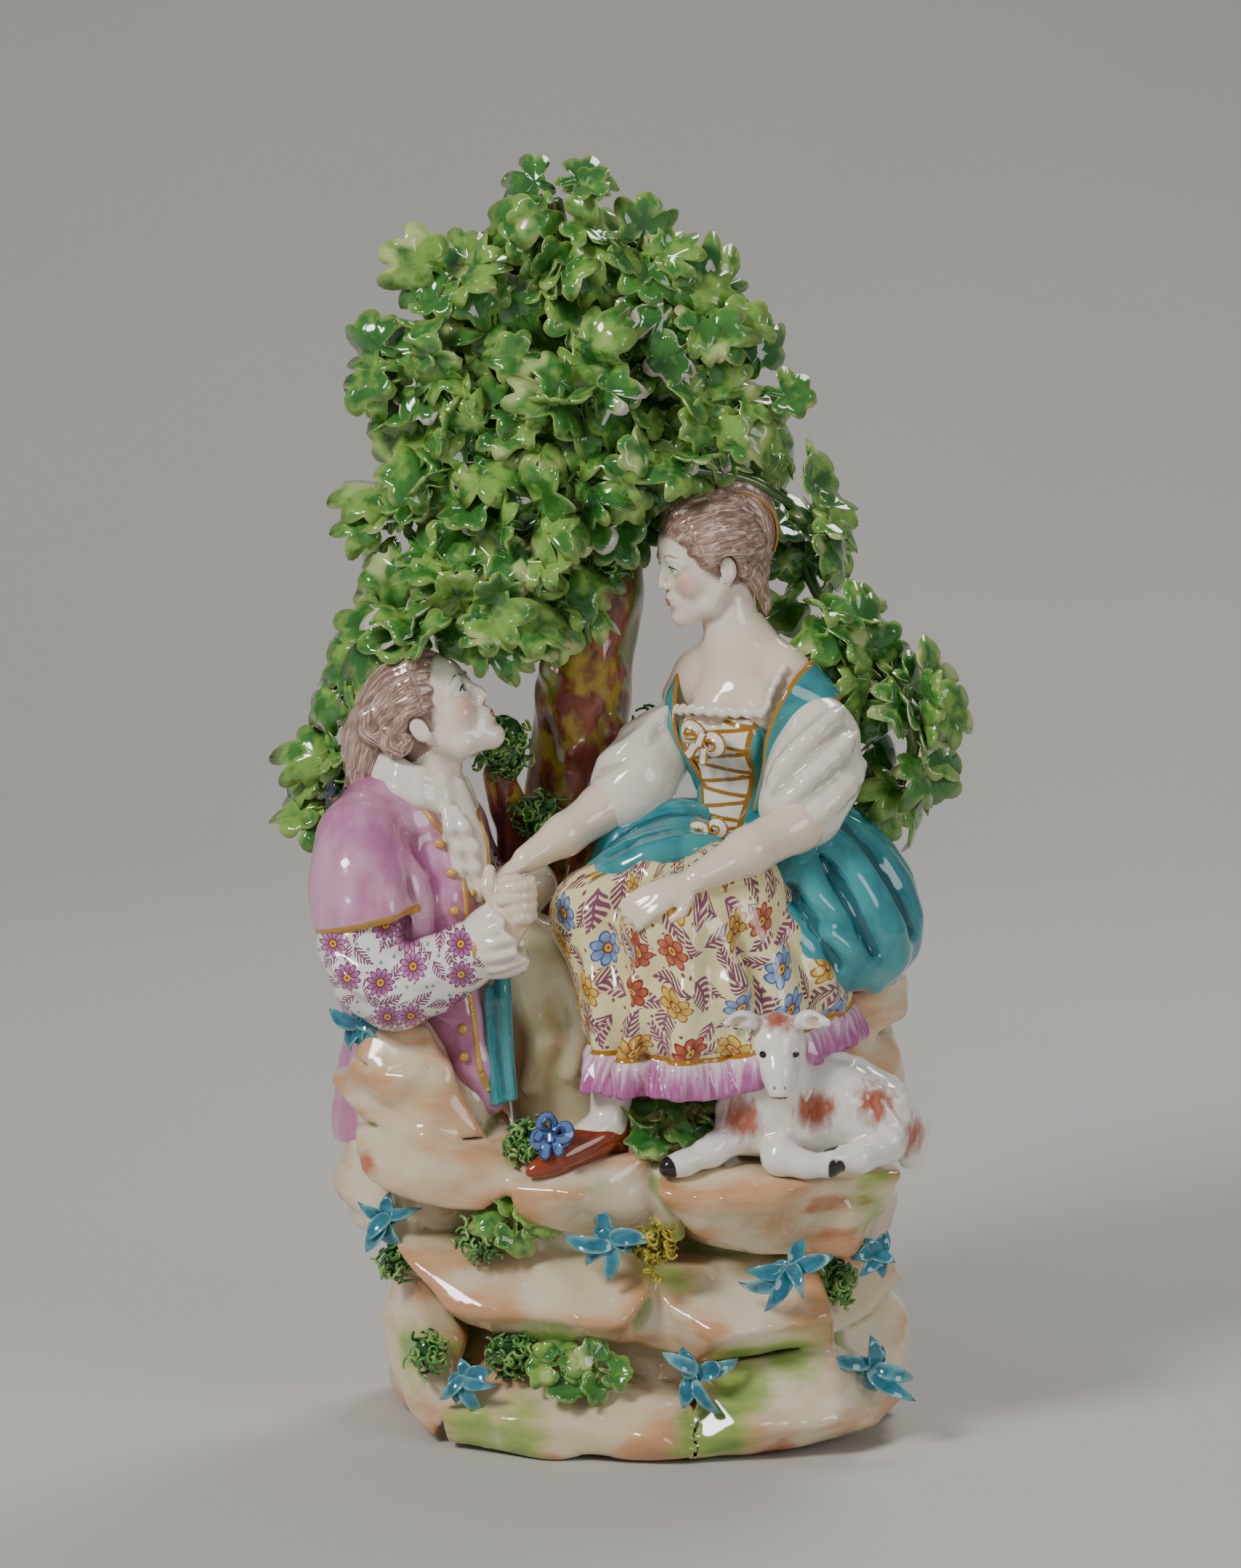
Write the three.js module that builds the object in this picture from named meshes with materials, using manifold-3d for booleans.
// A glazed porcelain group: a shepherd kneels before a seated shepherdess and holds her hand, under a
// leafy tree, on a mound of rocks with a lamb. It was pressed in parts, luted together and fired as one
// piece, so it is one solid. Millimetres, +Z up, the front towards -Y, +X to the right as seen from the
// front. The origin is the middle of the flat underside.
import * as THREE from "three";
import { mergeVertices } from "three/addons/utils/BufferGeometryUtils.js";
import Module from "manifold-3d";

const wasm = await Module();
wasm.setup();

// Driving dimensions
const TUFT_REACH = 17; // a tuft of leaves, from its middle to a leaf tip
const TUFT_DEPTH = 13; // from its face to its back
const TUFT_SPACING = 26; // along a bough
const LEDGE_TOP = 85; // the level where the lamb lies and the shoe stands
const ARM_SIDES = 7; // facets round an arm or a leg
const GLAZE_COLOUR = 0xe9ddc8;

// Helpers for every form

function solidOf(geometry) {
  const bare = geometry.clone();
  bare.deleteAttribute("normal");
  bare.deleteAttribute("uv");
  const merged = mergeVertices(bare, 1e-4);
  return new wasm.Manifold(
    new wasm.Mesh({
      numProp: 3,
      vertProperties: new Float32Array(merged.attributes.position.array),
      triVerts: new Uint32Array(merged.index.array),
    }),
  );
}

const joined = (solids) => solids.reduce((whole, next) => whole.add(next));

const vector = ([x, y, z]) => new THREE.Vector3(x, y, z);

// A closed form along a row of stations [x, y, z, radius]. `wide` and `deep` stretch the section along
// its side and its front, `side` says which way the side lies, and ripple(turn, station) swells it.
function limb(stations, { sides = ARM_SIDES, wide = 1, deep = 1, side = [1, 0, 0], cap = 0.6, ripple } = {}) {
  const count = stations.length;
  const geometry = new THREE.SphereGeometry(1, sides, count + 1);
  const place = geometry.attributes.position;
  const points = stations.map(vector);
  for (let row = 0; row <= count + 1; row += 1) {
    const at = Math.min(Math.max(row - 1, 0), count - 1);
    const before = points[Math.max(at - 1, 0)];
    const after = points[Math.min(at + 1, count - 1)];
    const along = after.clone().sub(before).normalize();
    const front = along.clone().cross(vector(side)).normalize();
    const across = front.clone().cross(along);
    const radius = stations[at][3];
    const pole = row === 0 || row === count + 1;
    for (let column = 0; column <= sides; column += 1) {
      const turn = ((column % sides) / sides) * 2 * Math.PI;
      const reach = radius * (ripple ? ripple(turn, at) : 1);
      const point = points[at].clone();
      if (pole) point.addScaledVector(along, (row === 0 ? -cap : cap) * radius);
      else {
        point.addScaledVector(across, -Math.cos(turn) * reach * wide);
        point.addScaledVector(front, Math.sin(turn) * reach * deep);
      }
      place.setXYZ(row * (sides + 1) + column, point.x, point.y, point.z);
    }
  }
  return solidOf(geometry);
}

// An egg with its three half lengths, turned about X, Y and Z in degrees.
function egg([x, y, z], [rx, ry, rz], turn = [0, 0, 0], sides = 8, rings = 6) {
  const geometry = new THREE.SphereGeometry(1, sides, rings);
  geometry.rotateX(Math.PI / 2);
  geometry.scale(rx, ry, rz);
  geometry.applyMatrix4(
    new THREE.Matrix4().makeRotationFromEuler(
      new THREE.Euler(...turn.map(THREE.MathUtils.degToRad), "XYZ"),
    ),
  );
  geometry.translate(x, y, z);
  return solidOf(geometry);
}

// Rocks: blocks stacked in tiers, each a low drum with uneven corners, cut flat below

const ROCKS = [
  // [x, y, foot, top, half width, half depth, corners, turn, lean in x, lean in y]
  [0, 6, 0, 44, 70, 50, 11, 0.2, 0, 0],
  [-27, -22, 0, 27, 37, 35, 7, 0.35, 1, 4],
  [46, -14, 0, 44, 33, 36, 8, 0.1, -1, 5],
  [-62, 6, 0, 54, 20, 28, 7, 0.5, 0, 0],
  [-36, -22, 36, 68, 35, 28, 7, 0.15, 2, 6],
  [31, -26, 34, 62, 28, 27, 7, 0.55, -2, 5],
  [62, 4, 34, 66, 14, 24, 6, 0.3, 2, 0],
  [2, 12, 30, 100, 58, 42, 9, 0.1, 4, 4],
  [-17, -34, 58, LEDGE_TOP, 23, 25, 7, 0.2, 0, 3],
  [43, -34, 58, LEDGE_TOP, 37, 28, 9, 0.3, 0, 0],
  [-66, -16, 58, 98, 28, 27, 7, 0.6, 1, 1],
  [-64, -30, 84, 116, 24, 20, 7, 0.1, 1, 3],
  [-70, -38, 106, 128, 14, 12, 6, 0.4, 0, 2],
  [-80, 2, 56, 88, 13, 17, 6, 0.2, 0, 0],
  [52, 8, 84, 140, 27, 26, 8, 0.4, -2, 2],
  [-14, 22, 84, 128, 40, 26, 8, 0.2, 2, 2],
];

function block([x, y, foot, top, halfWidth, halfDepth, corners, turn, leanX, leanY]) {
  const geometry = new THREE.CylinderGeometry(1, 1, 1, corners, 2);
  geometry.rotateX(Math.PI / 2);
  const place = geometry.attributes.position;
  const girth = [0.9, 1, 0.8];
  for (let i = 0; i < place.count; i += 1) {
    const [px, py, pz] = [place.getX(i), place.getY(i), place.getZ(i)];
    const level = Math.round((pz + 0.5) * 2);
    const angle = Math.atan2(py, px) + turn;
    const uneven = 1 + 0.1 * Math.sin(3 * angle + x) + 0.05 * Math.cos(5 * angle + level + y);
    const reach = Math.hypot(px, py) > 0.5 ? girth[level] * uneven : 0;
    const tilt = level === 2 ? 1.5 * Math.cos(2 * angle) * reach : 0;
    const rise = level === 1 ? foot + (top - foot) * 0.6 : level ? top : foot;
    place.setXYZ(
      i,
      x + leanX * level + Math.cos(angle) * reach * halfWidth,
      y + leanY * level + Math.sin(angle) * reach * halfDepth,
      rise - Math.abs(tilt),
    );
  }
  return solidOf(geometry);
}

// The trunk, the broken stump beside it and the boughs that carry the leaves

const TRUNK = [
  [-26, 32, 112, 22],
  [-24, 30, 150, 18],
  [-21, 28, 180, 15.5],
  [-19, 28, 212, 14],
  [-12, 28, 245, 11.5],
  [-9, 28, 280, 9],
  [-13, 27, 312, 7],
  [-22, 22, 346, 4.5],
  [-30, 16, 364, 3],
];
const STUMP = [
  [-40, 22, 130, 9],
  [-41, 16, 165, 8],
  [-42, 12, 190, 7],
];

// Each bough runs through hand-set points; its tufts are spaced out along it.
const BOUGHS = [
  [[-20, 24, 332], [-24, 8, 344], [-28, 6, 362]],
  [[-16, 26, 326], [-6, 8, 350], [8, 5, 338], [20, 4, 330]],
  [[-15, 27, 310], [-38, 12, 340], [-60, 8, 342]],
  [[-12, 27, 300], [-40, 16, 316], [-68, 8, 320], [-82, 6, 316]],
  [[-76, 8, 312], [-70, 8, 294], [-86, 6, 278], [-90, 6, 262]],
  [[-10, 28, 284], [-33, 0, 298], [-52, -2, 290], [-62, 0, 276]],
  [[-12, 27, 292], [-18, -4, 303], [-28, -6, 319]],
  [[-11, 28, 300], [4, 4, 318], [14, 4, 322]],
  [[-9, 28, 280], [12, 4, 296], [34, 4, 306]],
  [[-9, 28, 270], [2, -6, 284], [32, -2, 282], [52, 4, 272]],
  [[-10, 28, 258], [-19, -6, 274], [-42, -10, 266], [-60, -8, 256]],
  [[-12, 28, 250], [-33, -8, 248], [-56, -14, 240], [-74, -12, 238], [-88, -4, 244]],
  [[-78, -8, 238], [-86, 0, 222], [-98, 4, 206], [-100, 6, 186]],
  [[-8, 30, 262], [44, 18, 264], [58, 14, 246], [74, 14, 226], [90, 14, 214]],
  [[88, 14, 214], [96, 14, 200], [90, 14, 184]],
  [[72, 16, 226], [64, 18, 208], [70, 16, 188]],
  [[-12, 28, 290], [-34, 44, 304], [-56, 40, 284]],
  [[-9, 28, 286], [10, 46, 290], [32, 40, 274]],
  [[-12, 28, 252], [-34, 48, 254], [-64, 38, 238]],
];

// A tuft of leaves: a rosette, thick in the middle, whose rim runs out in lobes and bends back. Its face
// is towards `outward`.
function tuft(middle, outward, turn, reach = TUFT_REACH) {
  const lobes = 5;
  const geometry = new THREE.SphereGeometry(1, 2 * lobes, 2);
  geometry.rotateX(Math.PI / 2);
  const place = geometry.attributes.position;
  for (let i = 0; i < place.count; i += 1) {
    const angle = Math.atan2(place.getY(i), place.getX(i));
    const rim = Math.abs(place.getZ(i)) < 0.5;
    const lobe = Math.round((angle / Math.PI) * lobes) % 2 === 0;
    const spread = rim ? reach * (lobe ? 1 : 0.62) : 0;
    const rise = rim ? -0.2 : 0.5 * place.getZ(i);
    place.setXYZ(i, spread * Math.cos(angle + turn), spread * Math.sin(angle + turn), rise * TUFT_DEPTH);
  }
  geometry.applyQuaternion(
    new THREE.Quaternion().setFromUnitVectors(new THREE.Vector3(0, 0, 1), outward),
  );
  geometry.translate(middle.x, middle.y, middle.z);
  return solidOf(geometry);
}

function bough(points, order) {
  const curve = new THREE.CatmullRomCurve3(points.map(vector));
  const steps = points.length - 1;
  const stations = curve.getSpacedPoints(steps).map((p, i) => [p.x, p.y, p.z, 4.2 - i / steps]);
  const made = [limb(stations, { sides: 3, side: [0, 0, 1] })];
  const count = Math.round(curve.getLength() / TUFT_SPACING);
  for (let i = 1; i <= count; i += 1) {
    const at = curve.getPointAt(i / count);
    const outward = new THREE.Vector3(at.x + 14, at.y - 26, 8);
    outward.y -= at.y < 34 ? 26 : -12;
    made.push(tuft(at, outward.normalize(), 2.4 * i + order));
  }
  return joined(made);
}

// The shepherdess, seated on the right, her face towards the shepherd

const SHE = {
  waist: [27, 0, 183],
  chest: [26, -3, 207],
  shoulders: [31, 1, 219],
  neck: [26, 1, 228],
  head: [24, -1, 261],
  nearShoulder: [52, -12, 216],
  nearElbow: [49, -26, 186],
  nearWrist: [13, -45, 168],
  nearFingers: [-8, -47, 158],
  farShoulder: [12, 14, 212],
  farElbow: [-5, 2, 189],
  farWrist: [-36, -22, 171],
};
const ACROSS_HER = [-0.85, 0.53, 0]; // along her shoulders, from near to far

function shepherdess() {
  const { waist, chest, shoulders, neck, head } = SHE;
  const folds = (turn) => 1 + 0.07 * Math.cos(7 * turn);
  const torso = limb(
    [
      [waist[0] + 2, waist[1] + 2, waist[2] - 12, 14],
      [...waist, 11.5],
      [...chest, 15],
      [...shoulders, 14],
      [...neck, 7],
    ],
    { wide: 1.3, deep: 0.85, side: ACROSS_HER, sides: 10 },
  );
  const throat = limb([[...neck, 8], [26, 0, 236, 6.8], [23, -1, 248, 7.5]]);
  const skull = egg(head, [16, 14, 16], [0, 0, 0], 10, 8);
  const face = limb([[16, -3, 261, 11], [14.5, -4, 251, 9.5], [13.5, -5, 244, 5]], { sides: 8, cap: 0.3 });
  const nose = limb([[5.5, -7, 260, 1.6], [3.5, -8, 253, 2.4]], { sides: 4 });
  const bun = limb([
    [28, -1, 272, 8],
    [34, 0, 273, 8.5],
    [38, 0, 262, 7.5],
    [36, -2, 250, 5.5],
    [34, -2, 240, 3],
  ]);
  const nearSleeve = limb(
    [[...SHE.nearShoulder, 9], [53, -16, 206, 15], [50, -21, 194, 16.5], [46, -25, 187, 13]],
    { sides: 10, ripple: folds },
  );
  const farSleeve = limb([[...SHE.farShoulder, 8], [3, 8, 201, 13], [-4, 2, 193, 13], [-8, -1, 189, 10]], {
    ripple: folds,
  });
  const nearArm = limb([[...SHE.nearElbow, 8.5], [32, -38, 177, 8], [...SHE.nearWrist, 5]]);
  const farArm = limb([[...SHE.farElbow, 8.5], [-20, -11, 180, 7.5], [...SHE.farWrist, 5]]);
  const nearHand = limb(
    [[13, -45, 168, 5], [5, -47, 164, 6], [-3, -48, 160, 4.5], [...SHE.nearFingers, 2.5]],
    { wide: 0.6, side: [0, 1, 0] },
  );
  return joined([torso, throat, skull, face, nose, bun, nearSleeve, farSleeve, nearArm, farArm, nearHand]);
}

// Her skirts: the bunched overskirt behind, and the petticoat that falls from her knees to a ruffle

function skirts() {
  const gathers = (turn, station) => 1 + 0.06 * Math.cos(6 * turn + station);
  const hip = limb([[27, 0, 184, 13], [38, -2, 170, 27], [48, -2, 154, 31], [54, 0, 138, 26]], {
    sides: 14,
    deep: 0.95,
    ripple: gathers,
  });
  const rearSwag = limb([[52, 8, 176, 13], [66, 4, 160, 18], [68, -4, 144, 15], [56, -14, 132, 8]], {
    ripple: gathers,
  });
  const lapSwag = limb([[26, -6, 180, 8], [4, -12, 176, 11], [-10, -14, 168, 9]]);
  const nearThigh = limb([[44, -16, 160, 20], [24, -34, 160, 20], [9, -44, 152, 18]]);
  const farThigh = limb([[34, 0, 164, 18], [8, -16, 162, 18], [-12, -24, 154, 15.5]]);
  const pleats = (turn, station) => 1 + (0.03 + 0.03 * station) * Math.cos(8 * turn);
  const petticoat = limb(
    [[2, -30, 158, 16], [3, -34, 146, 22], [8, -36, 130, 25], [13, -37, 117, 29], [14, -38, 107, 31]],
    { sides: 14, wide: 1.12, deep: 0.82, cap: 0.05, ripple: pleats },
  );
  const trail = limb([[40, -20, 148, 16], [50, -22, 130, 19], [52, -24, 112, 20]], {
    sides: 10,
    cap: 0.05,
    deep: 0.8,
    ripple: pleats,
  });
  return joined([hip, rearSwag, lapSwag, nearThigh, farThigh, petticoat, trail]);
}

function shoe() {
  const ankle = limb([[-8, -44, 112, 6], [-11, -46, 98, 5.5]]);
  const slipper = limb([[-8, -45, 94, 5], [-16, -51, 93, 6], [-26, -57, 88.5, 5.2], [-33, -61, 86.5, 2.5]], {
    side: [0, 0, 1],
    wide: 0.8,
  });
  const heel = limb([[-9, -45, 92, 3.5], [-9, -45, 84, 2.5]], { sides: 6 });
  const rosette = egg([-27, -59, 95], [6, 4, 4], [0, 30, 0], 7, 4);
  return joined([ankle, slipper, heel, rosette]);
}

// The shepherd, kneeling on the left with his face raised

const HE = {
  neck: [-62, -15, 192],
  head: [-69, -17, 214],
  nearShoulder: [-82, -31, 179],
  nearElbow: [-77, -46, 137],
  nearWrist: [-47, -44, 151],
  farShoulder: [-60, 8, 178],
  farElbow: [-50, 10, 158],
  farWrist: [-34, -10, 162],
};
const ACROSS_HIM = [0.45, 0.89, 0];

function shepherd() {
  const coat = limb(
    [
      [-67, -14, 190, 9],
      [-72, -12, 180, 19],
      [-74, -11, 162, 22],
      [-68, -10, 142, 19],
      [-67, -8, 122, 21],
      [-69, -6, 104, 23],
      [-71, -5, 90, 24],
    ],
    { sides: 12, wide: 1.15, deep: 1, side: ACROSS_HIM, cap: 0.05 },
  );
  const flap = limb([[-56, -26, 142, 8], [-52, -30, 122, 8], [-46, -34, 102, 5]], {
    side: [0, 1, 0],
    wide: 0.6,
  });
  const throat = limb([[-66, -15, 184, 10.5], [-62, -16, 194, 9], [-60, -17, 204, 8.5]]);
  const skull = egg(HE.head, [17.5, 14.5, 15.5], [0, 35, 0], 10, 8);
  const face = limb([[-60, -19, 219, 11], [-54, -20, 211, 10.5], [-46, -21, 204.5, 5]], { cap: 0.3 });
  const nose = limb([[-49, -20, 221, 2], [-44, -20.5, 216, 2.8]], { sides: 4 });
  const curls = limb([[-78, -18, 221, 8], [-82, -18, 211, 8], [-81, -17, 199, 7], [-84, -14, 186, 4]]);
  const sideCurl = egg([-73, -31, 203], [9, 5, 5], [0, 20, 0]);
  const jabot = limb([[-56, -24, 190, 7], [-51, -27, 178, 6], [-48, -28, 164, 4]], {
    side: [0, 1, 0],
    wide: 0.7,
  });
  const nearUpper = limb([
    [...HE.nearShoulder, 13],
    [-83, -38, 164, 14.5],
    [-81, -44, 149, 13],
    [...HE.nearElbow, 11.5],
  ]);
  const nearFore = limb([
    [...HE.nearElbow, 11.5],
    [-62, -47, 141, 10.5],
    [-51, -45, 148, 9],
    [-46, -43, 153, 9.5],
  ]);
  const nearHand = limb([[-45, -43, 152, 6.5], [-41, -40, 161, 8], [-39, -36, 169, 6]], { side: [0, 1, 0] });
  const farArm = limb([[...HE.farShoulder, 10], [...HE.farElbow, 9], [...HE.farWrist, 7]]);
  const breeches = limb([[-46, -14, 144, 15], [-33, -10, 132, 17.5], [-25, -8, 112, 17], [-23, -8, 92, 17]]);
  const sash = limb([[-42, -32, 146, 5], [-43, -34, 128, 5.5], [-43, -35, 106, 6]], { wide: 0.9, deep: 0.5 });
  return joined([
    coat, flap, throat, skull, face, nose, curls, sideCurl, jabot,
    nearUpper, nearFore, nearHand, farArm, breeches, sash,
  ]);
}

// The lamb, lying on the right ledge with its head turned to the front

function lamb() {
  const body = limb([[30, -46, 100, 14], [42, -42, 100, 16], [56, -40, 99, 16.5], [67, -40, 97, 13]], {
    side: [0, 1, 0],
    sides: 8,
  });
  const neck = limb([[36, -48, 104, 12], [37, -52, 116, 10]]);
  const brow = limb([[38, -54, 124, 10.5], [38, -60, 118, 10.5], [39, -65, 109, 6]], { cap: 0.4 });
  const leftEar = limb([[32, -56, 126, 3.4], [23, -57, 130, 2.2]], { sides: 5 });
  const rightEar = limb([[45, -56, 126, 3.4], [51, -57, 126, 2.2]], { sides: 5 });
  const outstretched = limb([[27, -50, 94, 7], [17, -56, 89, 4.2], [8, -60, 87, 4.4]]);
  const folded = limb([[38, -52, 92, 7], [38, -62, 88, 5], [47, -63, 87.5, 3.8], [52, -63, 87.5, 3.6]]);
  const haunch = egg([68, -48, 97], [9, 9, 11]);
  const hock = limb([[70, -54, 89, 5], [60, -62, 88.5, 4], [55, -63, 89, 4]]);
  const tail = limb([[73, -42, 98, 4.5], [77, -43, 92, 5.5], [77, -44, 86, 4]]);
  return joined([body, neck, brow, leftEar, rightEar, outstretched, folded, haunch, hock, tail]);
}

// Applied moss and leaves on the rocks and round the trunk

const MOSS = [
  // [x, y, z, size]
  [-32, -48, 88, 9],
  [-50, -38, 60, 9],
  [1, -44, 62, 9],
  [-34, 10, 190, 10],
  [-4, 17, 196, 10],
  [-34, -46, 30, 9],
];

function mound() {
  const pieces = ROCKS.map(block);
  for (const [x, y, z, size] of MOSS) {
    pieces.push(egg([x, y, z], [size, size * 0.7, size * 0.8], [0, 20, x], 6, 3));
  }
  return joined(pieces);
}

// The whole group, made one. Small hollows shut in between the forms are filled, as slip fills them.
const tree = joined([limb(TRUNK, { sides: 10 }), limb(STUMP, { sides: 7 }), ...BOUGHS.map(bough)]);
const whole = joined([mound(), tree, skirts(), shepherdess(), shoe(), shepherd(), lamb()]);
const skins = whole.decompose().sort((a, b) => b.volume() - a.volume());

const mesh = skins[0].getMesh();
const geometry = new THREE.BufferGeometry();
geometry.setAttribute("position", new THREE.BufferAttribute(new Float32Array(mesh.vertProperties), 3));
geometry.setIndex(new THREE.BufferAttribute(new Uint32Array(mesh.triVerts), 1));
geometry.computeVertexNormals();

const porcelain = new THREE.MeshStandardMaterial({ color: GLAZE_COLOUR, roughness: 0.15, metalness: 0 });
const group = new THREE.Group();
const piece = new THREE.Mesh(geometry, porcelain);
piece.name = "porcelain_group";
group.add(piece);

export default group;
